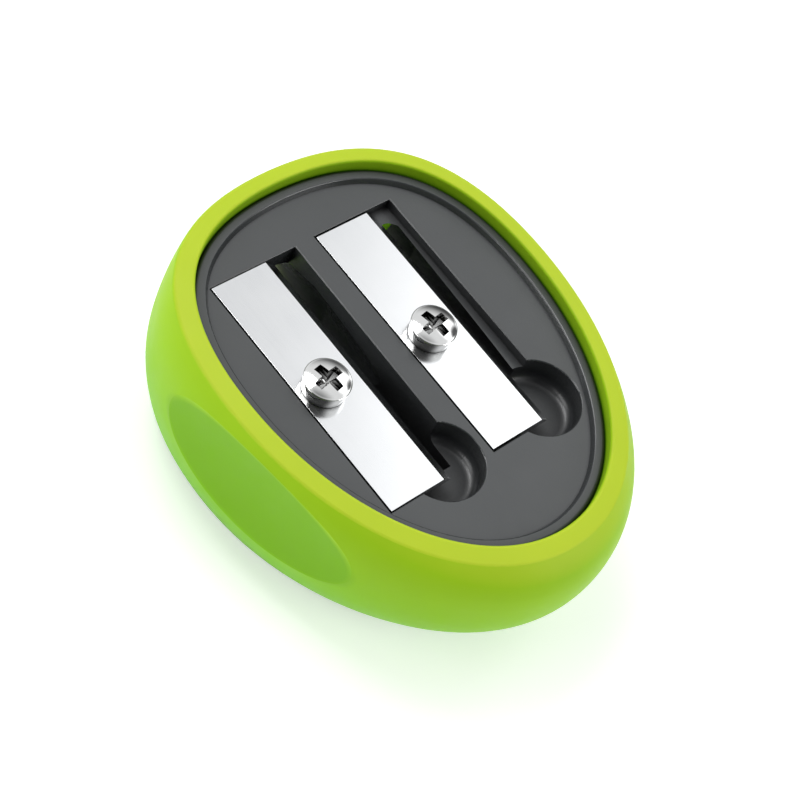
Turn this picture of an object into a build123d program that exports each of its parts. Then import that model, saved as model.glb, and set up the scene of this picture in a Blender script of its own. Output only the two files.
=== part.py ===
from build123d import *

import os
from math import cos, radians, sin, tan

# Double-hole pencil sharpener.
#
# A deep egg-shaped casing holds a drop-in cutter body. The body carries two flat blades,
# each clamped by one cross-recessed screw, over two conical pencil bores.
#
# Frame: the base stands on Z = 0, X runs across the blades, and +Y is the wide end,
# where the pencils go in. The narrow end of the egg points to -Y. Sizes are millimetres.

# ------------------------------------------------------------------ casing
PLATE_Z = 14.5            # top of the cutter body's plate, above the base
LIP_OUTER_Z = 15.77       # outer edge of the sloping lip
LIP_INNER_Z = 16.17       # inner edge of the sloping lip
LIP_WIDTH = 1.66          # across the lip, in plan
BELLY_Z = 10.1            # height where the sides are fullest
FLOOR = 1.3               # thickness of the casing's floor

HALF_WIDTH = 17.45        # egg at the lip's outer edge, from the centre line to the side
WIDE_END = 17.75          # from the egg's widest line to the pencil end
NARROW_END = 24.0         # from the egg's widest line to the other end
WIDE_ROUND = 0.669        # curve handle of the blunt half, as a share of its length
NARROW_ROUND = 0.562      # the same for the pointed half; 0.552 would be an ellipse

SIDE_BELLY = 1.25         # how far the side stands out at the belly
NARROW_BELLY = 2.45       # the same at the narrow end; the wide end stays straight
SIDE_TUCK = 2.6           # how far the side draws in from the belly to the base
WIDE_TUCK = 2.2
NARROW_TUCK = 6.95
SHELL_SECTIONS = 9        # egg outlines that shape the side

BASE_ROUND = 1.2          # edge between the side and the flat base
LIP_ROUND = 0.4           # outer edge of the lip
LIP_INNER_ROUND = 0.25    # inner edge of the lip

DIMPLE_LENGTH = 18.9      # finger dimple, along the side
DIMPLE_HEIGHT = 16.0      # where its hollow would come level with the side's fullest line
DIMPLE_DEPTH = 1.1        # below the fullest line of the side
DIMPLE_Z = 10.5
DIMPLE_FROM_BLADES = 1.3  # from the middle of the blades towards the narrow end
SIDE_CURVE = 30.0         # radius of the egg's side in plan, where the dimple is
DIMPLE_TURN = 6.7         # degrees that the dimple turns with the tapering side

# The bounding box is centred on the origin, so the egg's widest line lies off centre.
EGG_Y = (NARROW_END + NARROW_BELLY - WIDE_END) / 2
BLADE_Y = EGG_Y - 1.36    # middle of the blades

# ------------------------------------------------------------------ cutter body
BODY_GAP = 0.06           # between the body and the casing's wall
PLATE_THICK = 3.4         # down to the ledge that the plate rests on
SEAT_Z = PLATE_Z - PLATE_THICK
BORDER_HEIGHT = 0.5       # raised border round the plate
BORDER_WIDTH = 1.03       # its top, in plan
BORDER_SLOPE = 0.22       # run of its sloping inner side, in plan
BORDER_ROUND = 0.35       # its outer edge
BORDER_EDGE_ROUND = 0.12  # its inner edge
LEDGE = 0.8               # width of the casing's ledge under the plate
NARROW_LEDGE = 2.7        # wider at the narrow end, where the casing curves in below
BARREL_WALL = 1.2         # plastic round each pencil bore
BARREL_OVERLAP = 0.5      # how far the barrels run up into the plate

# ------------------------------------------------------------------ bores and pockets
# x and point_y give the cone's point, point_y from the middle of the blades.
# wall_x is where the chip slot's straight side meets the round recess, and wall_lean is how
# much further out that side is at the pencil end. recess_x and recess_r are the round recess.
# end_gap is between the blade and the end of its pocket. screw_x is the screw's place from
# the blade's straight back, and screw_y its place from the middle of the blades.
BORES = {
    "thick": {
        "x": -4.31,
        "point_y": -10.65,
        "radius": 4.4,
        "half_angle": 13.0,
        "wall_x": -2.17,
        "wall_lean": 0.29,
        "recess_x": -4.16,
        "recess_r": 3.7,
        "blade_x": -10.98,
        "end_gap": 0.1,
        "screw_x": 2.35,
        "screw_y": -0.25,
    },
    "standard": {
        "x": 7.54,
        "point_y": -10.3,
        "radius": 4.05,
        "half_angle": 11.5,
        "wall_x": 9.05,
        "wall_lean": 0.0,
        "recess_x": 7.54,
        "recess_r": 3.75,
        "blade_x": 0.41,
        "end_gap": 0.2,
        "screw_x": 2.55,
        "screw_y": -0.55,
    },
}
BORE_TOP = 0.85           # from the plate's top down to the top line of each cone
BORE_REACH = 36.0         # from a cone's point to beyond the casing
MOUTH_GAP = 0.3           # the casing's mouth is this much wider than the bore
MOUTH_ROUND = 0.4
RECESS_DEPTH = 2.6
RECESS_ROUND = 0.9        # edge of the recess's floor
DEEP_SLOT_DEPTH = 4.2     # the thick-pencil slot is cut right down into its bore
DEEP_SLOT_WIDTH = 3.2
POCKET_ROUND = 0.1        # edges of the pockets, slots and recesses

# ------------------------------------------------------------------ blades and screws
BLADE_LENGTH = 24.0       # the standard sharpener blade
BLADE_FLAT = 5.75         # width of the flat top, without the ground edge
BLADE_GRIND = 1.15        # width of the ground edge
BLADE_THICK = 1.0
BLADE_LAND = 0.05         # what the grinding leaves of the thickness at the cutting edge
BLADE_BACK_GAP = 0.12

HEAD_RADIUS = 2.08
HEAD_TAPER = 0.14         # how far the head's side draws in from its rim to its foot
HEAD_RIM = 1.45           # height of the head's side
HEAD_RISE = 1.75          # top of the dome above the blade
HEAD_ROUND = 0.2          # edge between the side and the dome
THREAD_RADIUS = 1.0
THREAD_CORE = 0.78
THREAD_PITCH = 0.7
THREAD_TURNS = 5
TIP_LENGTH = 0.6
BLADE_HOLE = 1.2          # radius
PILOT_HOLE = 1.03         # radius
PILOT_SPARE = 0.3         # room below the screw's tip
BOSS_RADIUS = 2.1
SCREW_DEPTH = THREAD_PITCH * THREAD_TURNS + TIP_LENGTH   # below the blade's top
BOSS_FLOOR = 0.8          # plastic under the screw's tip
CROSS_SPAN = 2.4          # tip to tip of the cross recess
CROSS_WING = 0.68         # width of a wing
CROSS_DEPTH = 1.0
CROSS_TAPER = 12
CROSS_TURN = 9            # degrees from the X axis

LEVEL = 0.01              # tolerance for picking level edges


def egg(height, side=0.0, wide=0.0, narrow=0.0):
    """Sketch the egg at a height, grown outwards at its sides and ends."""
    side += HALF_WIDTH
    wide += WIDE_END
    narrow += NARROW_END
    ends = ((wide, WIDE_ROUND), (-narrow, NARROW_ROUND))
    with BuildSketch(Plane.XY.offset(height)) as outline:
        with BuildLine():
            for end, handle in ends:
                for flank in (side, -side):
                    Bezier(
                        (flank, EGG_Y),
                        (flank, EGG_Y + handle * end),
                        (handle * flank, EGG_Y + end),
                        (0, EGG_Y + end),
                    )
        make_face()
    return outline.sketch


def inset_egg(height, inset, narrow_inset=None):
    """Sketch the egg drawn in from the lip's outer edge."""
    narrow_inset = inset if narrow_inset is None else narrow_inset
    return egg(height, -inset, -inset, -narrow_inset)


def side_growth(height, belly, tuck):
    """Outward growth of the casing's side at a height above the base."""
    if height >= BELLY_Z:
        rise = (height - BELLY_Z) / (LIP_OUTER_Z - BELLY_Z)
        return belly * (1 - rise**3)
    drop = (BELLY_Z - height) / BELLY_Z
    return belly - tuck * drop**2


def shell_section(height):
    """Outline of the casing's side at a height above the base."""
    return egg(
        height,
        side_growth(height, SIDE_BELLY, SIDE_TUCK),
        side_growth(height, 0, WIDE_TUCK),
        side_growth(height, NARROW_BELLY, NARROW_TUCK),
    )


def bore_plane(bore):
    """Plane whose origin is the cone's point and whose X runs up the bore to its mouth."""
    tilt = radians(bore["half_angle"])
    point = (bore["x"], BLADE_Y + bore["point_y"], PLATE_Z - BORE_TOP)
    return Plane(origin=point, x_dir=(0, cos(tilt), -sin(tilt)), z_dir=(1, 0, 0))


def edges_at(part, height):
    """Edges of a part that lie level at a height."""
    return part.edges().filter_by_position(Axis.Z, height - LEVEL, height + LEVEL)


def cone_length(bore):
    """Length of the bore's cone along its axis, from its point to the cylinder."""
    return bore["radius"] / tan(radians(bore["half_angle"]))


def across_bore(bore, distance):
    """Plane square to the bore's axis, at a distance from the cone's point."""
    along = bore_plane(bore)
    return Plane(origin=along.origin, z_dir=along.x_dir).offset(distance)


def bore_solid(bore, wall=0.0):
    """Turn the cone and cylinder of a bore, or the outside of its barrel, about the axis."""
    radius = bore["radius"] + wall
    start = -wall / sin(radians(bore["half_angle"]))
    cone_end = start + radius / tan(radians(bore["half_angle"]))
    plane = bore_plane(bore)
    with BuildPart() as turned:
        with BuildSketch(plane):
            with BuildLine():
                Polyline(
                    (start, 0),
                    (cone_end, radius),
                    (BORE_REACH, radius),
                    (BORE_REACH, 0),
                    close=True,
                )
            make_face()
        revolve(axis=Axis(plane.origin, plane.x_dir))
    return turned.part


def screw_place(bore):
    """X and Y of the screw that holds a bore's blade."""
    return bore["blade_x"] + bore["screw_x"], BLADE_Y + bore["screw_y"]


def pocket_end(bore):
    """Y of the pocket's end at the pencil side."""
    return BLADE_Y + BLADE_LENGTH / 2 + bore["end_gap"]


def slot_side(bore, y):
    """X of the chip slot's leaning side at a place along the blade."""
    recess_y = BLADE_Y + bore["point_y"]
    share = (y - recess_y) / (pocket_end(bore) - recess_y)
    return bore["wall_x"] + bore["wall_lean"] * share


def leaning_pocket(bore, back, start_y, wall=0.0):
    """Draw a pocket from its straight back to the chip slot's leaning side, plus a wall."""
    start_y -= wall
    end_y = pocket_end(bore) + wall
    Polygon(
        (back - wall, start_y),
        (slot_side(bore, start_y) + wall, start_y),
        (slot_side(bore, end_y) + wall, end_y),
        (back - wall, end_y),
        align=None,
    )


def deep_slot(wall=0.0):
    """Draw the thick-pencil chip slot, or the outside of the trough below it."""
    bore = BORES["thick"]
    back = bore["wall_x"] - DEEP_SLOT_WIDTH
    leaning_pocket(bore, back, BLADE_Y + bore["point_y"], wall)


def dimple_cutter():
    """Ring whose inner side presses a long shallow oval into the -X side."""
    half_length = DIMPLE_LENGTH / 2
    tube = ((DIMPLE_HEIGHT / 2) ** 2 + DIMPLE_DEPTH**2) / (2 * DIMPLE_DEPTH)
    inner = 1 / (1 / SIDE_CURVE - 2 * DIMPLE_DEPTH / half_length**2)
    turn = radians(DIMPLE_TURN)
    face_x = -(HALF_WIDTH + SIDE_BELLY - DIMPLE_DEPTH)
    centre = (
        face_x + inner * cos(turn),
        BLADE_Y - DIMPLE_FROM_BLADES + inner * sin(turn),
        DIMPLE_Z,
    )
    with BuildPart(Plane(origin=centre)) as ring:
        Torus(inner + tube, tube)
    return ring.part


def save(part, name):
    """Label a finished piece and write its STEP file."""
    part.label = name
    export_step(part, f"parts/{name}.step")


# ------------------------------------------------------------------ casing
dimple = dimple_cutter()
other_dimple = mirror(dimple, about=Plane.YZ)

with BuildPart() as casing:
    # The bulging side, through egg outlines from the base to the lip.
    heights = [LIP_OUTER_Z * step / (SHELL_SECTIONS - 1) for step in range(SHELL_SECTIONS)]
    loft([shell_section(height) for height in heights])
    fillet(edges_at(casing, 0), BASE_ROUND)

    # The lip rises towards its inner edge.
    loft([inset_egg(LIP_OUTER_Z, 0), inset_egg(LIP_INNER_Z, LIP_WIDTH)], ruled=True)
    fillet(edges_at(casing, LIP_OUTER_Z), LIP_ROUND)

    # Finger dimples, one on each side.
    add([dimple, other_dimple], mode=Mode.SUBTRACT)

    # The well that the plate drops into, and the deeper well for the barrels.
    extrude(inset_egg(SEAT_Z, LIP_WIDTH), amount=LIP_INNER_Z, mode=Mode.SUBTRACT)
    lower_well = inset_egg(FLOOR, LIP_WIDTH + LEDGE, LIP_WIDTH + NARROW_LEDGE)
    extrude(lower_well, amount=LIP_INNER_Z, mode=Mode.SUBTRACT)
    fillet(edges_at(casing, LIP_INNER_Z), LIP_INNER_ROUND)

    # One mouth for each pencil, through the wide end, with a softened rim.
    for bore in BORES.values():
        with BuildSketch(across_bore(bore, cone_length(bore))):
            Circle(bore["radius"] + MOUTH_GAP)
        extrude(amount=BORE_REACH, mode=Mode.SUBTRACT)
    side_edges = casing.faces().filter_by(lambda face: face.bounding_box().size.Z > BELLY_Z).edges()
    mouth_edges = casing.faces().filter_by(GeomType.CYLINDER).edges()
    fillet([edge for edge in side_edges if edge in mouth_edges], MOUTH_ROUND)

# ------------------------------------------------------------------ cutter body
with BuildPart() as barrels:
    # The outside of both barrels and the screw bosses, trimmed to the lower well.
    for bore in BORES.values():
        add(bore_solid(bore, BARREL_WALL))
    with BuildSketch(Plane.XY.offset(PLATE_Z - SCREW_DEPTH - BOSS_FLOOR)):
        with Locations([screw_place(bore) for bore in BORES.values()]):
            Circle(BOSS_RADIUS)
    extrude(amount=SCREW_DEPTH)
    with BuildSketch(Plane.XY.offset(PLATE_Z - DEEP_SLOT_DEPTH - BARREL_WALL)):
        deep_slot(BARREL_WALL)
    extrude(amount=DEEP_SLOT_DEPTH)
    trim_inset = LIP_WIDTH + LEDGE + BODY_GAP
    trim = inset_egg(FLOOR + BODY_GAP, trim_inset, trim_inset + NARROW_LEDGE - LEDGE)
    extrude(trim, amount=SEAT_Z + BARREL_OVERLAP - FLOOR - BODY_GAP, mode=Mode.INTERSECT)

with BuildPart() as cutter_body:
    # The plate, its raised border with a rounded outer edge, and the barrels below.
    border_inset = LIP_WIDTH + BORDER_WIDTH
    plate = inset_egg(SEAT_Z, LIP_WIDTH + BODY_GAP)
    extrude(plate, amount=PLATE_THICK + BORDER_HEIGHT)
    fillet(edges_at(cutter_body, PLATE_Z + BORDER_HEIGHT), BORDER_ROUND)
    loft(
        [
            inset_egg(PLATE_Z, border_inset + BORDER_SLOPE),
            inset_egg(PLATE_Z + BORDER_HEIGHT, border_inset),
        ],
        ruled=True,
        mode=Mode.SUBTRACT,
    )
    border_edges = edges_at(cutter_body, PLATE_Z + BORDER_HEIGHT)
    fillet(border_edges.sort_by(SortBy.LENGTH)[0], BORDER_EDGE_ROUND)
    add(barrels.part)

    # Round recesses over the cones' points, with softened floors.
    with BuildSketch(Plane.XY.offset(PLATE_Z)):
        for bore in BORES.values():
            with Locations((bore["recess_x"], BLADE_Y + bore["point_y"])):
                Circle(bore["recess_r"])
    extrude(amount=-RECESS_DEPTH, mode=Mode.SUBTRACT)
    fillet(edges_at(cutter_body, PLATE_Z - RECESS_DEPTH), RECESS_ROUND)

    # Pockets for the blades, which are also the chip slots beside their cutting edges.
    with BuildSketch(Plane.XY.offset(PLATE_Z)):
        for bore in BORES.values():
            start_y = BLADE_Y - BLADE_LENGTH / 2 - bore["end_gap"]
            leaning_pocket(bore, bore["blade_x"] - BLADE_BACK_GAP, start_y)
    extrude(amount=-BLADE_THICK, mode=Mode.SUBTRACT)

    # Blind holes that the screws cut their threads in.
    with BuildSketch(Plane.XY.offset(PLATE_Z)):
        with Locations([screw_place(bore) for bore in BORES.values()]):
            Circle(PILOT_HOLE)
    extrude(amount=-SCREW_DEPTH - PILOT_SPARE, mode=Mode.SUBTRACT)

    # The thick-pencil slot goes down into its bore.
    with BuildSketch(Plane.XY.offset(PLATE_Z)):
        deep_slot()
    extrude(amount=-DEEP_SLOT_DEPTH, mode=Mode.SUBTRACT)

    for bore in BORES.values():
        add(bore_solid(bore), mode=Mode.SUBTRACT)

    # The edges of the pockets, slots and recesses are slightly softened. The border's foot,
    # which lies at the same height, is the only edge longer than the egg.
    plate_edges = edges_at(cutter_body, PLATE_Z)
    fillet([edge for edge in plate_edges if edge.length < NARROW_END + WIDE_END], POCKET_ROUND)


def build_blade(bore):
    """Flat blade with a screw hole and one long edge ground down to its underside."""
    back = bore["blade_x"]
    edge = back + BLADE_FLAT + BLADE_GRIND
    underside = PLATE_Z - BLADE_THICK
    with BuildPart() as blade:
        with BuildSketch(Plane.XZ.offset(-(BLADE_Y + BLADE_LENGTH / 2))):
            with BuildLine():
                Polyline(
                    (back, underside),
                    (edge, underside),
                    (edge, underside + BLADE_LAND),
                    (back + BLADE_FLAT, PLATE_Z),
                    (back, PLATE_Z),
                    close=True,
                )
            make_face()
        extrude(amount=BLADE_LENGTH)
        with BuildSketch(Plane.XY.offset(underside)):
            with Locations(screw_place(bore)):
                Circle(BLADE_HOLE)
        extrude(amount=BLADE_THICK, mode=Mode.SUBTRACT)
    return blade.part


def shank_outline():
    """Half outline of the shank below the head: thread rings, then the tip."""
    points = [(0, 0), (THREAD_CORE, 0)]
    for turn in range(THREAD_TURNS):
        points.append((THREAD_RADIUS, -(turn + 0.5) * THREAD_PITCH))
        points.append((THREAD_CORE, -(turn + 1) * THREAD_PITCH))
    return points + [(THREAD_CORE / 2, -SCREW_DEPTH), (0, -SCREW_DEPTH)]


def build_screw(bore):
    """Cross-recessed pan-head screw, its thread modelled as rings."""
    stand = Plane(origin=(*screw_place(bore), PLATE_Z))
    with BuildPart() as screw:
        with BuildSketch(Plane(origin=stand.origin, x_dir=(1, 0, 0), z_dir=(0, -1, 0))):
            with BuildLine():
                Polyline(*shank_outline(), close=True)
            make_face()
            with BuildLine():
                foot = HEAD_RADIUS - HEAD_TAPER
                Polyline((0, HEAD_RISE), (0, 0), (foot, 0), (HEAD_RADIUS, HEAD_RIM))
                TangentArc((0, HEAD_RISE), (HEAD_RADIUS, HEAD_RIM), tangent=(1, 0))
            make_face()
        revolve(axis=Axis(stand.origin, stand.z_dir))
        fillet(edges_at(screw, PLATE_Z + HEAD_RIM), HEAD_ROUND)
        with BuildSketch(stand.offset(HEAD_RISE)):
            for turn in (CROSS_TURN, CROSS_TURN + 90):
                Rectangle(CROSS_SPAN, CROSS_WING, rotation=turn)
        extrude(amount=-CROSS_DEPTH, taper=CROSS_TAPER, mode=Mode.SUBTRACT)
    return screw.part


os.makedirs("parts", exist_ok=True)
save(casing.part, "casing")
save(cutter_body.part, "cutter_body")
for hole, bore in BORES.items():
    save(build_blade(bore), f"blade_{hole}")
    save(build_screw(bore), f"screw_{hole}")
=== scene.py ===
from math import atan2, cos, floor, pi, radians, sin, sqrt, tan

import bmesh
import bpy
from mathutils import Matrix, Vector


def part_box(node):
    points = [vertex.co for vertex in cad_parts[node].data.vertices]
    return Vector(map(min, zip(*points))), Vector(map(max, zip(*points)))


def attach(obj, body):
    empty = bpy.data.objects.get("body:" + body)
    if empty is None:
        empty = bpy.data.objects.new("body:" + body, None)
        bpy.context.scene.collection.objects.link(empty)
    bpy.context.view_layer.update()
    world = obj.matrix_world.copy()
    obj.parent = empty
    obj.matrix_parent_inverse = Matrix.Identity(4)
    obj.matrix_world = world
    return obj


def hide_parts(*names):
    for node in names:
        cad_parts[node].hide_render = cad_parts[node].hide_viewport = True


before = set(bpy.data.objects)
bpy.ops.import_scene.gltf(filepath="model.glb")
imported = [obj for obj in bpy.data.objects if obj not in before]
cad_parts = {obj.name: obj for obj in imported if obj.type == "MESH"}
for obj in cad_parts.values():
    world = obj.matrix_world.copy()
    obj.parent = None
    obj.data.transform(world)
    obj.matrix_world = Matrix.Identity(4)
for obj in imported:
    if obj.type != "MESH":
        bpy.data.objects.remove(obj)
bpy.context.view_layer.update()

# Double-hole pencil sharpener: the casing and the cutter body keep their CAD shapes, and the
# blades and screws are rebuilt in more detail. Named lengths are millimetres, and MM turns
# them into the frame's metres. Colours are linear red, green, blue and alpha.

MM = 0.001

# ------------------------------------------------------------------ camera and light
CAMERA_AIM = (-3.62, -1.35, 14.5)     # point that the camera looks at
CAMERA_DISTANCE = 156.7
CAMERA_AZIMUTH = radians(-64.58)
CAMERA_ELEVATION = radians(53.16)
CAMERA_ROLL = radians(29.61)
CAMERA_LENS = 86.2                    # on a 36 mm sensor
CAMERA_NEAR = 5.0
CAMERA_FAR = 5000.0

FLOOR_SIZE = 3000.0
FLOOR_GAP = 0.02                      # keeps the floor clear of the flat base
FLOOR_COLOUR = (0.90, 0.90, 0.90, 1.0)
FLOOR_ROUGHNESS = 0.7
FLOOR_GLOW = 0.45                     # light from the floor itself, as from a light table
WHITE = (1.0, 1.0, 1.0, 1.0)
SKY_COLOUR = (0.98, 0.99, 1.0, 1.0)
HORIZON_LIGHT = 0.06
OVERHEAD_LIGHT = 0.78
HORIZON_END = 0.25                    # height of a direction where the sky starts to lighten
OVERHEAD_START = 0.65
GLOW_DIRECTION = (0.74, 0.03, 0.67)   # middle of the soft bright area that the blades mirror
GLOW_LIGHT = 1.4
GLOW_CORE = radians(8)
GLOW_EDGE = radians(23)
# Dark areas that the screws mirror: middle, share of the light left, core and edge.
SHADES = (
    ((-0.54, -0.26, 0.80), 0.05, radians(25), radians(52)),
    ((0.86, -0.20, 0.47), 0.05, radians(11), radians(19)),
)

# name, direction to the light, distance, width, height, watts
LIGHTS = (
    ("left_softbox", (-0.80, 0.45, 0.60), 420.0, 260.0, 260.0, 0.50),
    ("overhead_softbox", (-0.05, 0.50, 0.86), 480.0, 220.0, 220.0, 0.75),
    ("right_softbox", (0.45, -0.80, 0.40), 420.0, 200.0, 200.0, 0.50),
)

# ------------------------------------------------------------------ casing
# Painted shade and light: the casing goes from darker and greener at its foot to lighter at its
# top.
CASING_PAINTED_FOOT_SHADE = (0.17, 0.56, 0.006, 1.0)
CASING_PAINTED_TOP_LIGHT = (0.40, 0.68, 0.014, 1.0)
# Painted light on surfaces that face up, such as the lip.
CASING_PAINTED_LIP_LIGHT = (0.56, 0.71, 0.042, 1.0)
# Painted shade in the finger dimples.
CASING_PAINTED_DIMPLE_SHADE = (0.22, 0.52, 0.008, 1.0)
CASING_CLOUD = (0.25, 0.47, 0.01, 1.0)
# Painted shade in crevices and hollows.
CASING_PAINTED_CREVICE_SHADE = (0.08, 0.26, 0.004, 1.0)
PAINTED_LIP_LIGHT_SLOPE = (0.55, 0.90)  # painted light: upward-facing surfaces take the lighter, yellower lip colour over this range of the normal's height
DIMPLE_FROM_BLADES = 3.6  # from the middle of the blades towards the narrow end
DIMPLE_Z = 10.15
DIMPLE_HALF_LENGTH = 10.7
DIMPLE_HALF_HEIGHT = 4.75
DIMPLE_EDGE = (0.85, 1.02)  # its painted shade fades out over this range of the oval's squared radius

# ------------------------------------------------------------------ cutter body
BODY_DARK = (0.044, 0.048, 0.050, 1.0)
BODY_LIGHT = (0.049, 0.053, 0.055, 1.0)
# Painted shade in crevices, recesses and slots.
BODY_PAINTED_CREVICE_SHADE = (0.004, 0.004, 0.005, 1.0)
CREVICE_ROUGHNESS = 0.3   # added deep in a crevice
SLOPE_POLISH = 0.2        # taken off the roughness of slopes and walls
PLATE_LEVEL = (0.90, 0.99)  # the normal's height on slopes, and where the plate is level

# ------------------------------------------------------------------ blades
STEEL_DARK = (0.80, 0.81, 0.82, 1.0)
STEEL_LIGHT = (0.88, 0.885, 0.89, 1.0)
BLADE_GRIND = 1.15        # width of the ground edge
BLADE_LAND = 0.05         # thickness left at the cutting edge
BLADE_HOLE = 1.2          # radius
BLADE_BEVEL = 0.05
BLADE_BEVEL_STEPS = 2
BLADE_CORNER = radians(20)  # edges that turn more than this are bevelled
BLADE_CREASE = radians(35)  # edges that turn more than this stay sharp in the shading
HOLE_SIDES = 64

# ------------------------------------------------------------------ screws
NICKEL_DARK = (0.86, 0.86, 0.85, 1.0)
NICKEL_LIGHT = (0.92, 0.92, 0.91, 1.0)
# Painted shade in the cross recess and under the head.
NICKEL_PAINTED_CREVICE_SHADE = (0.015, 0.015, 0.015, 1.0)
HEAD_BULGE = 0.34         # how far the dome rises from its rounded edge to its middle
HEAD_ROUND = 0.10         # rounding between the side and the dome
HEAD_TAPER = 0.14         # how far the side draws in from its edge to its foot
HEAD_FOOT = 0.06          # rounding under the head's side
THREAD_RADIUS = 1.0
THREAD_CORE = 0.78
THREAD_PITCH = 0.7
THREAD_FLANK = 0.38       # half the width of the ridge, as a share of the pitch
TIP_LENGTH = 0.6
TIP_RADIUS = THREAD_CORE / 2
CROSS_SPAN = 2.7          # tip to tip of the cross recess
CROSS_WING = 0.86         # width of a wing
CROSS_DEPTH = 0.75
CROSS_POINT = 0.25        # the recess's middle goes this much deeper
CROSS_TAPER = radians(12)
CROSS_TURN = radians(9)
CROSS_ABOVE = 0.1         # how far the cutter of the recess stands above the dome
SCREW_CREASE = radians(30)
SCREW_COLUMNS = 96
DOME_STEPS = 14
EDGE_STEPS = 8
FOOT_STEPS = 4
ROWS_PER_TURN = 12


# ------------------------------------------------------------------ mesh helpers
def new_piece(name, mesh_data, material, replaced):
    """Make an object from a bmesh, which it frees, and put it in a CAD node's place."""
    mesh = bpy.data.meshes.new(name)
    mesh_data.to_mesh(mesh)
    mesh_data.free()
    piece = bpy.data.objects.new(name, mesh)
    bpy.context.scene.collection.objects.link(piece)
    mesh.materials.append(material)
    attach(piece, "root")
    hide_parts(replaced)
    return piece


def shade(piece, sharp_angle):
    """Shade smooth, except across sharp edges, and keep large faces flat."""
    piece.data.polygons.foreach_set("use_smooth", [True] * len(piece.data.polygons))
    piece.data.set_sharp_from_angle(angle=sharp_angle)
    weighted = piece.modifiers.new("flat_faces", "WEIGHTED_NORMAL")
    weighted.weight = 100
    weighted.keep_sharp = True


def subtract(piece, cutter_mesh):
    """Cut a bmesh, which it frees, out of a piece."""
    mesh = bpy.data.meshes.new("cutter")
    cutter_mesh.to_mesh(mesh)
    cutter_mesh.free()
    cutter = bpy.data.objects.new("cutter", mesh)
    bpy.context.scene.collection.objects.link(cutter)
    cut = piece.modifiers.new("cut", "BOOLEAN")
    cut.operation = "DIFFERENCE"
    cut.solver = "EXACT"
    cut.object = cutter
    bpy.context.view_layer.update()
    evaluated = piece.evaluated_get(bpy.context.evaluated_depsgraph_get())
    result = bpy.data.meshes.new_from_object(evaluated)
    piece.modifiers.clear()
    old = piece.data
    piece.data = result
    result.name = piece.name
    bpy.data.meshes.remove(old)
    bpy.data.objects.remove(cutter)
    bpy.data.meshes.remove(mesh)


def prism(corners, direction):
    """Closed bmesh prism: a polygon swept along a direction."""
    solid = bmesh.new()
    face = solid.faces.new([solid.verts.new(corner) for corner in corners])
    swept = bmesh.ops.extrude_face_region(solid, geom=[face])
    moved = [item for item in swept["geom"] if isinstance(item, bmesh.types.BMVert)]
    bmesh.ops.translate(solid, vec=direction, verts=moved)
    bmesh.ops.recalc_face_normals(solid, faces=solid.faces)
    return solid


# ------------------------------------------------------------------ material helpers
NOISE_SPAN = (0.3, 0.7)   # nearly all of a noise lies in this range
OCCLUSION_SAMPLES = 8
# The Mix node repeats its sockets' names, so its colour sockets go by number.
MIX_SHARE, MIX_FIRST, MIX_SECOND, MIX_RESULT = 0, 6, 7, 2


class NodeTree:
    """A shader node tree being built."""

    def __init__(self, tree):
        self.tree = tree

    def node(self, kind, inputs=None, **settings):
        """Add a node. An input's value is a number, a colour or another node's socket."""
        node = self.tree.nodes.new("ShaderNode" + kind)
        for key, value in settings.items():
            setattr(node, key, value)
        for key, value in (inputs or {}).items():
            if isinstance(value, bpy.types.NodeSocket):
                self.tree.links.new(value, node.inputs[key])
            else:
                node.inputs[key].default_value = value
        return node

    def spread(self, value, low, high, start=0.0, end=1.0, **settings):
        """Map a value's range from start to end onto low to high."""
        inputs = {
            "Value": value,
            "From Min": start,
            "From Max": end,
            "To Min": low,
            "To Max": high,
        }
        return self.node("MapRange", inputs, **settings).outputs[0]

    def maths(self, operation, first, second):
        """Combine two values."""
        return self.node("Math", {0: first, 1: second}, operation=operation).outputs[0]


class Surface(NodeTree):
    """A node material being built. Its textures work in millimetres."""

    def __init__(self, name, **fixed):
        self.material = bpy.data.materials.new(name)
        self.material.use_nodes = True
        super().__init__(self.material.node_tree)
        self.shader = self.tree.nodes["Principled BSDF"]
        for socket, value in fixed.items():
            self.shader.inputs[socket.replace("_", " ")].default_value = value
        place = self.node("TexCoord").outputs["Object"]
        per_mm = (1 / MM, 1 / MM, 1 / MM)
        self.place = self.node("Mapping", {"Vector": place, "Scale": per_mm}).outputs[0]

    def noise(self, scale, detail, stretch=(1, 1, 1)):
        """Noise from 0 to 1, with about scale features a millimetre."""
        place = self.node("Mapping", {"Vector": self.place, "Scale": stretch}).outputs[0]
        inputs = {"Vector": place, "Scale": scale, "Detail": detail}
        return self.node("TexNoise", inputs).outputs["Fac"]

    def cloud(self, scale, detail, low, high):
        """Noise that runs from low to high."""
        return self.spread(self.noise(scale, detail), low, high, *NOISE_SPAN)

    def openness(self, reach, shut, clear):
        """Nothing where the share of open sky within a reach is shut, and one where it is clear."""
        inputs = {"Distance": reach * MM}
        occlusion = self.node("AmbientOcclusion", inputs, samples=OCCLUSION_SAMPLES)
        return self.spread(occlusion.outputs["AO"], 0, 1, shut, clear)

    def facing_up(self):
        """Height of the surface's normal: one on a level top, nothing on an upright wall."""
        normal = self.node("NewGeometry").outputs["Normal"]
        return self.node("SeparateXYZ", {0: normal}).outputs[2]

    def mix(self, share, first, second):
        """Colour between first and second."""
        inputs = {MIX_SHARE: share, MIX_FIRST: first, MIX_SECOND: second}
        return self.node("Mix", inputs, data_type="RGBA").outputs[MIX_RESULT]

    def bump(self, height, depth):
        """Normal for a relief of a depth in millimetres."""
        return self.node("Bump", {"Height": height, "Distance": depth * MM}).outputs[0]

    def use(self, **sockets):
        """Link values to the shader's sockets."""
        for socket, value in sockets.items():
            self.tree.links.new(value, self.shader.inputs[socket.replace("_", " ")])
        return self.material


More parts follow.
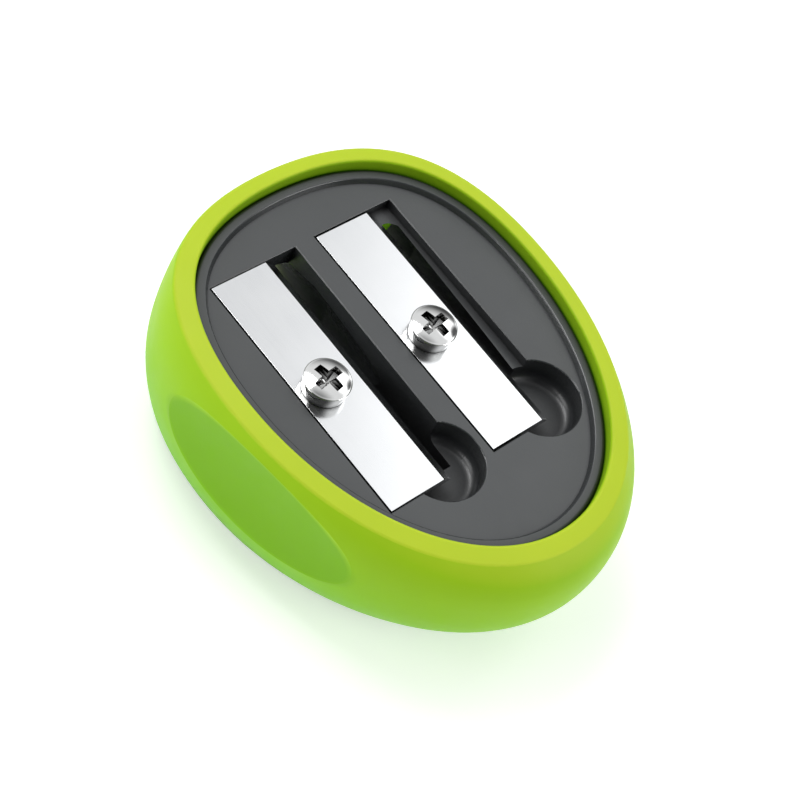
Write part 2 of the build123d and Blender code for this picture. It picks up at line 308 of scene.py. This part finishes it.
# ------------------------------------------------------------------ materials
def dimple_shade_mask(surface, axes):
    """One in an oval that runs through both finger dimples, nothing outside, and a soft edge: where
    the dimples' painted shade goes.
    """
    blades_y = sum(corner.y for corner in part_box("blade_thick")) / 2 / MM
    ovals = (
        (axes[1], blades_y - DIMPLE_FROM_BLADES, DIMPLE_HALF_LENGTH),
        (axes[2], DIMPLE_Z, DIMPLE_HALF_HEIGHT),
    )
    squares = []
    for axis, middle, half in ovals:
        reach = surface.spread(axis, 0, 1, middle, middle + half, clamp=False)
        squares.append(surface.maths("MULTIPLY", reach, reach))
    return surface.spread(surface.maths("ADD", *squares), 1, 0, *DIMPLE_EDGE)


def casing_plastic():
    """Satin, slightly translucent lime-green plastic with a fine moulded grain, and painted light
    and shade.
    """
    surface = Surface(
        "casing_plastic",
        Specular_IOR_Level=0.12,
        Subsurface_Weight=0.12,
        Subsurface_Radius=(0.9 * MM, 1.2 * MM, 0.15 * MM),
        Subsurface_Scale=1.0,
    )
    low, high = [corner.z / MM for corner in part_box("casing")]
    axes = surface.node("SeparateXYZ", {0: surface.place}).outputs
    # Painted shade towards the foot and painted light towards the top.
    colour = surface.mix(surface.spread(axes[2], 0, 1, low, high), CASING_PAINTED_FOOT_SHADE, CASING_PAINTED_TOP_LIGHT)
    # Painted light on surfaces that face up.
    painted_lip_light = surface.spread(surface.facing_up(), 0, 1, *PAINTED_LIP_LIGHT_SLOPE)
    colour = surface.mix(painted_lip_light, colour, CASING_PAINTED_LIP_LIGHT)
    # Painted shade in the finger dimples.
    colour = surface.mix(dimple_shade_mask(surface, axes), colour, CASING_PAINTED_DIMPLE_SHADE)
    cloud = surface.cloud(scale=0.15, detail=3, low=0, high=0.08)
    colour = surface.mix(cloud, colour, CASING_CLOUD)
    # Painted shade: darker in crevices and hollows, where little open sky reaches.
    openness = surface.openness(reach=4.0, shut=0.2, clear=0.8)
    colour = surface.mix(openness, CASING_PAINTED_CREVICE_SHADE, colour)
    return surface.use(
        Base_Color=colour,
        Roughness=surface.cloud(scale=0.4, detail=4, low=0.40, high=0.50),
        Normal=surface.bump(surface.noise(scale=5.0, detail=3), depth=0.006),
    )


def body_plastic():
    """Dark grey moulded plastic with a satin, finely sparked surface and painted shade in its
    crevices and recesses.
    """
    surface = Surface("body_plastic", Specular_IOR_Level=0.8)
    cloud = surface.cloud(scale=0.2, detail=3, low=0, high=1)
    colour = surface.mix(cloud, BODY_DARK, BODY_LIGHT)
    openness = surface.openness(reach=5.0, shut=0.3, clear=0.85)
    # Painted shade: darker in crevices, recesses and slots.
    colour = surface.mix(openness, BODY_PAINTED_CREVICE_SHADE, colour)
    roughness = surface.cloud(scale=0.5, detail=4, low=0.38, high=0.41)
    roughness = surface.maths("ADD", roughness, surface.spread(openness, CREVICE_ROUGHNESS, 0))
    polish = surface.spread(surface.facing_up(), SLOPE_POLISH, 0, *PLATE_LEVEL)
    return surface.use(
        Base_Color=colour,
        Roughness=surface.maths("SUBTRACT", roughness, polish),
        Normal=surface.bump(surface.noise(scale=7.0, detail=3), depth=0.006),
    )


def blade_steel():
    """Bright flat-ground steel. The grinding lines run along the blade."""
    surface = Surface("blade_steel", Metallic=1.0)
    lines = surface.noise(scale=9.0, detail=3, stretch=(1, 0.02, 1))
    return surface.use(
        Base_Color=surface.mix(surface.noise(scale=0.25, detail=3), STEEL_DARK, STEEL_LIGHT),
        Roughness=surface.spread(lines, 0.16, 0.21, *NOISE_SPAN),
        Normal=surface.bump(lines, depth=0.0003),
    )


def screw_metal():
    """Bright nickel plate with a faint unevenness, and painted shade in the cross and under the
    head.
    """
    surface = Surface("screw_metal", Metallic=1.0)
    colour = surface.mix(surface.noise(scale=1.2, detail=3), NICKEL_DARK, NICKEL_LIGHT)
    # Painted shade in the cross recess and under the head.
    openness = surface.openness(reach=1.2, shut=0.35, clear=0.7)
    return surface.use(
        Base_Color=surface.mix(openness, NICKEL_PAINTED_CREVICE_SHADE, colour),
        Roughness=surface.cloud(scale=4.0, detail=3, low=0.05, high=0.11),
        Normal=surface.bump(surface.noise(scale=1.5, detail=2), depth=0.0004),
    )


# ------------------------------------------------------------------ pieces
def dress_node(node, material):
    """Give a kept CAD node its material."""
    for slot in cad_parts[node].material_slots:
        slot.material = material


def ground_blade(low, high):
    """Bmesh of a flat blade between two corners, with one long edge ground down."""
    shoulder = high.x - BLADE_GRIND * MM
    section = (
        (low.x, low.z),
        (high.x, low.z),
        (high.x, low.z + BLADE_LAND * MM),
        (shoulder, high.z),
        (low.x, high.z),
    )
    corners = [(x, low.y, z) for x, z in section]
    return prism(corners, Vector((0, high.y - low.y, 0)))


def hole_cutter(centre, low, high):
    """Round bar that stands a blade's thickness past both faces."""
    thickness = high.z - low.z
    circle = []
    for step in range(HOLE_SIDES):
        angle = 2 * pi * step / HOLE_SIDES
        x = centre.x + BLADE_HOLE * MM * cos(angle)
        y = centre.y + BLADE_HOLE * MM * sin(angle)
        circle.append((x, y, low.z - thickness))
    return prism(circle, Vector((0, 0, 3 * thickness)))


def soften_edges(blade, land_x):
    """Bevel a blade's corners, except those of the thin land, which lies past land_x."""
    mesh = bmesh.new()
    mesh.from_mesh(blade.data)
    edges = []
    for edge in mesh.edges:
        on_land = all(vert.co.x > land_x for vert in edge.verts)
        if not on_land and edge.calc_face_angle(0) > BLADE_CORNER:
            edges.append(edge)
    bmesh.ops.bevel(
        mesh,
        geom=edges,
        offset=BLADE_BEVEL * MM,
        segments=BLADE_BEVEL_STEPS,
        profile=0.5,
        affect="EDGES",
        clamp_overlap=True,
    )
    mesh.to_mesh(blade.data)
    mesh.free()


def build_blade(name, node, screw, material):
    """Flat blade with softened edges, a screw hole and one long edge ground down."""
    low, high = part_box(node)
    blade = new_piece(name, ground_blade(low, high), material, node)
    screw_centre = sum(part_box(screw), Vector()) / 2
    subtract(blade, hole_cutter(screw_centre, low, high))
    soften_edges(blade, high.x - BLADE_LAND * MM)
    shade(blade, BLADE_CREASE)


def head_rows(radius, rise):
    """Half outline of the screw's head, from the top of its dome to its underside."""
    flank = radius - HEAD_ROUND
    dome_radius = (flank**2 + HEAD_BULGE**2) / (2 * HEAD_BULGE)
    dome_centre = rise - dome_radius
    rows = []
    for step in range(1, DOME_STEPS + 1):
        across = flank * step / DOME_STEPS
        rows.append((across, dome_centre + sqrt(dome_radius**2 - across**2)))
    across, level = rows[-1]
    start = atan2(level - dome_centre, across)
    edge_x = flank - HEAD_ROUND * cos(start)
    edge_z = level - HEAD_ROUND * sin(start)
    stretch = radius - edge_x
    for step in range(1, EDGE_STEPS + 1):
        angle = start * (1 - step / EDGE_STEPS)
        rows.append((edge_x + stretch * cos(angle), edge_z + HEAD_ROUND * sin(angle)))
    for step in range(FOOT_STEPS + 1):
        angle = pi / 2 * step / FOOT_STEPS
        foot = radius - HEAD_TAPER - HEAD_FOOT * (1 - cos(angle))
        rows.append((foot, HEAD_FOOT * (1 - sin(angle))))
    return rows


def thread_radius(depth, angle):
    """Radius of the helical thread at a depth below the head, all round the shank."""
    turn = depth / THREAD_PITCH + angle / (2 * pi)
    share = turn - floor(turn)
    ridge = max(0.0, 1 - abs(share - 0.5) / THREAD_FLANK)
    fade = min(1.0, depth / THREAD_PITCH)
    return THREAD_CORE + (THREAD_RADIUS - THREAD_CORE) * ridge * fade


def screw_mesh(centre, radius, rise, depth):
    """Screw turned about its axis, with rows of vertices from the dome to the tip."""
    solid = bmesh.new()
    angles = [2 * pi * column / SCREW_COLUMNS for column in range(SCREW_COLUMNS)]
    rows = [[(across, level)] * SCREW_COLUMNS for across, level in head_rows(radius, rise)]
    shank = depth - TIP_LENGTH
    count = round(shank / THREAD_PITCH * ROWS_PER_TURN)
    for step in range(count + 1):
        level = shank * step / count
        rows.append([(thread_radius(level, angle), -level) for angle in angles])
    rows.append([(TIP_RADIUS, -depth)] * SCREW_COLUMNS)

    rings = []
    for row in rows:
        ring = []
        for angle, (across, level) in zip(angles, row):
            offset = Vector((across * cos(angle), across * sin(angle), level)) * MM
            ring.append(solid.verts.new(centre + offset))
        rings.append(ring)
    for upper, lower in zip(rings, rings[1:]):
        for column in range(SCREW_COLUMNS):
            beside = (column + 1) % SCREW_COLUMNS
            solid.faces.new((upper[column], lower[column], lower[beside], upper[beside]))
    solid.faces.new(rings[0])
    solid.faces.new(list(reversed(rings[-1])))
    bmesh.ops.recalc_face_normals(solid, faces=solid.faces)
    return solid


def cross_outline(inset):
    """Corners of the cross recess, drawn in from its full size."""
    reach = CROSS_SPAN / 2 - inset
    wing = CROSS_WING / 2 - inset
    corners = []
    for quarter in range(4):
        turn = Matrix.Rotation(CROSS_TURN + quarter * pi / 2, 3, "Z")
        for corner in ((reach, -wing), (reach, wing), (wing, wing)):
            corners.append(turn @ Vector((*corner, 0)))
    return corners


def cross_cutter(centre, rise):
    """Tapered cross whose floor slopes down to a point in the middle."""
    solid = bmesh.new()
    rings = []
    for level in (CROSS_ABOVE, -CROSS_DEPTH):
        lift = Vector((0, 0, rise + level))
        outline = cross_outline(-level * tan(CROSS_TAPER))
        rings.append([solid.verts.new(centre + (corner + lift) * MM) for corner in outline])
    upper, lower = rings
    point = Vector((0, 0, rise - CROSS_DEPTH - CROSS_POINT))
    tip = solid.verts.new(centre + point * MM)
    for index in range(len(upper)):
        beside = (index + 1) % len(upper)
        solid.faces.new((upper[index], upper[beside], lower[beside], lower[index]))
        solid.faces.new((lower[index], lower[beside], tip))
    solid.faces.new(list(reversed(upper)))
    bmesh.ops.recalc_face_normals(solid, faces=solid.faces)
    return solid


def build_screw(name, node, blade, material):
    """Pan-head screw with a cross recess and a helical thread."""
    low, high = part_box(node)
    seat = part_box(blade)[1].z
    centre = Vector(((low.x + high.x) / 2, (low.y + high.y) / 2, seat))
    radius = (high.x - low.x) / 2 / MM
    rise = (high.z - seat) / MM
    depth = (seat - low.z) / MM
    solid = screw_mesh(centre, radius, rise, depth)
    screw = new_piece(name, solid, material, node)
    subtract(screw, cross_cutter(centre, rise))
    shade(screw, SCREW_CREASE)


# ------------------------------------------------------------------ studio
def add_floor():
    """Pale floor, which isn't part of the object."""
    half = FLOOR_SIZE / 2 * MM
    solid = bmesh.new()
    corners = ((-half, -half), (half, -half), (half, half), (-half, half))
    solid.faces.new([solid.verts.new((x, y, -FLOOR_GAP * MM)) for x, y in corners])
    mesh = bpy.data.meshes.new("floor")
    solid.to_mesh(mesh)
    solid.free()
    floor_plane = bpy.data.objects.new("floor", mesh)
    bpy.context.scene.collection.objects.link(floor_plane)
    surface = Surface(
        "floor_paint",
        Base_Color=FLOOR_COLOUR,
        Roughness=FLOOR_ROUGHNESS,
        Emission_Color=WHITE,
        Emission_Strength=FLOOR_GLOW,
    )
    mesh.materials.append(surface.material)


def add_world():
    """Sky that is dark near the horizon, with a soft bright area and some dark ones."""
    world = bpy.data.worlds.new("studio")
    world.use_nodes = True
    sky = NodeTree(world.node_tree)
    direction = sky.node("TexCoord").outputs["Generated"]
    height = sky.node("SeparateXYZ", {0: direction}).outputs[2]

    def soft(value, low, high, start, end):
        """Smooth step from low to high."""
        return sky.spread(value, low, high, start, end, interpolation_type="SMOOTHSTEP")

    def spot(middle, core, edge, outside, inside):
        """Round area of the sky with a soft edge."""
        inputs = {0: direction, 1: Vector(middle).normalized()}
        towards = sky.node("VectorMath", inputs, operation="DOT_PRODUCT").outputs["Value"]
        return soft(towards, outside, inside, cos(edge), cos(core))

    strength = soft(height, HORIZON_LIGHT, OVERHEAD_LIGHT, HORIZON_END, OVERHEAD_START)
    glow = spot(GLOW_DIRECTION, GLOW_CORE, GLOW_EDGE, 0, GLOW_LIGHT)
    strength = sky.maths("ADD", strength, glow)
    for middle, light_left, core, edge in SHADES:
        strength = sky.maths("MULTIPLY", strength, spot(middle, core, edge, 1, light_left))
    background = sky.tree.nodes["Background"]
    background.inputs["Color"].default_value = SKY_COLOUR
    sky.tree.links.new(strength, background.inputs["Strength"])
    bpy.context.scene.world = world


def add_light(name, direction, distance, width, height, watts):
    """Rectangular softbox that faces the object."""
    light = bpy.data.lights.new(name, "AREA")
    light.shape = "RECTANGLE"
    light.size = width * MM
    light.size_y = height * MM
    light.energy = watts
    lamp = bpy.data.objects.new(name, light)
    way = Vector(direction).normalized()
    lamp.location = way * distance * MM
    lamp.rotation_euler = way.to_track_quat("Z", "Y").to_euler()
    bpy.context.scene.collection.objects.link(lamp)


def add_camera():
    """Camera at the photograph's angle, rolled about its line of sight."""
    camera = bpy.data.cameras.new("camera")
    camera.lens = CAMERA_LENS
    camera.clip_start = CAMERA_NEAR * MM
    camera.clip_end = CAMERA_FAR * MM
    level = cos(CAMERA_ELEVATION)
    back = Vector((
        sin(CAMERA_AZIMUTH) * level,
        -cos(CAMERA_AZIMUTH) * level,
        sin(CAMERA_ELEVATION),
    ))
    flat_right = Vector((cos(CAMERA_AZIMUTH), sin(CAMERA_AZIMUTH), 0))
    flat_up = back.cross(flat_right)
    right = flat_right * cos(CAMERA_ROLL) + flat_up * sin(CAMERA_ROLL)
    stand = bpy.data.objects.new("camera", camera)
    turn = Matrix((right, back.cross(right), back)).transposed().to_4x4()
    place = (Vector(CAMERA_AIM) + back * CAMERA_DISTANCE) * MM
    stand.matrix_world = Matrix.Translation(place) @ turn
    bpy.context.scene.collection.objects.link(stand)
    bpy.context.scene.camera = stand


bpy.context.scene.view_settings.view_transform = "Standard"
add_camera()
add_world()
for light in LIGHTS:
    add_light(*light)
add_floor()

dress_node("casing", casing_plastic())
dress_node("cutter_body", body_plastic())
steel = blade_steel()
plating = screw_metal()
for side in ("thick", "standard"):
    build_blade(f"ground_blade_{side}", f"blade_{side}", f"screw_{side}", steel)
    build_screw(f"cross_head_screw_{side}", f"screw_{side}", f"blade_{side}", plating)
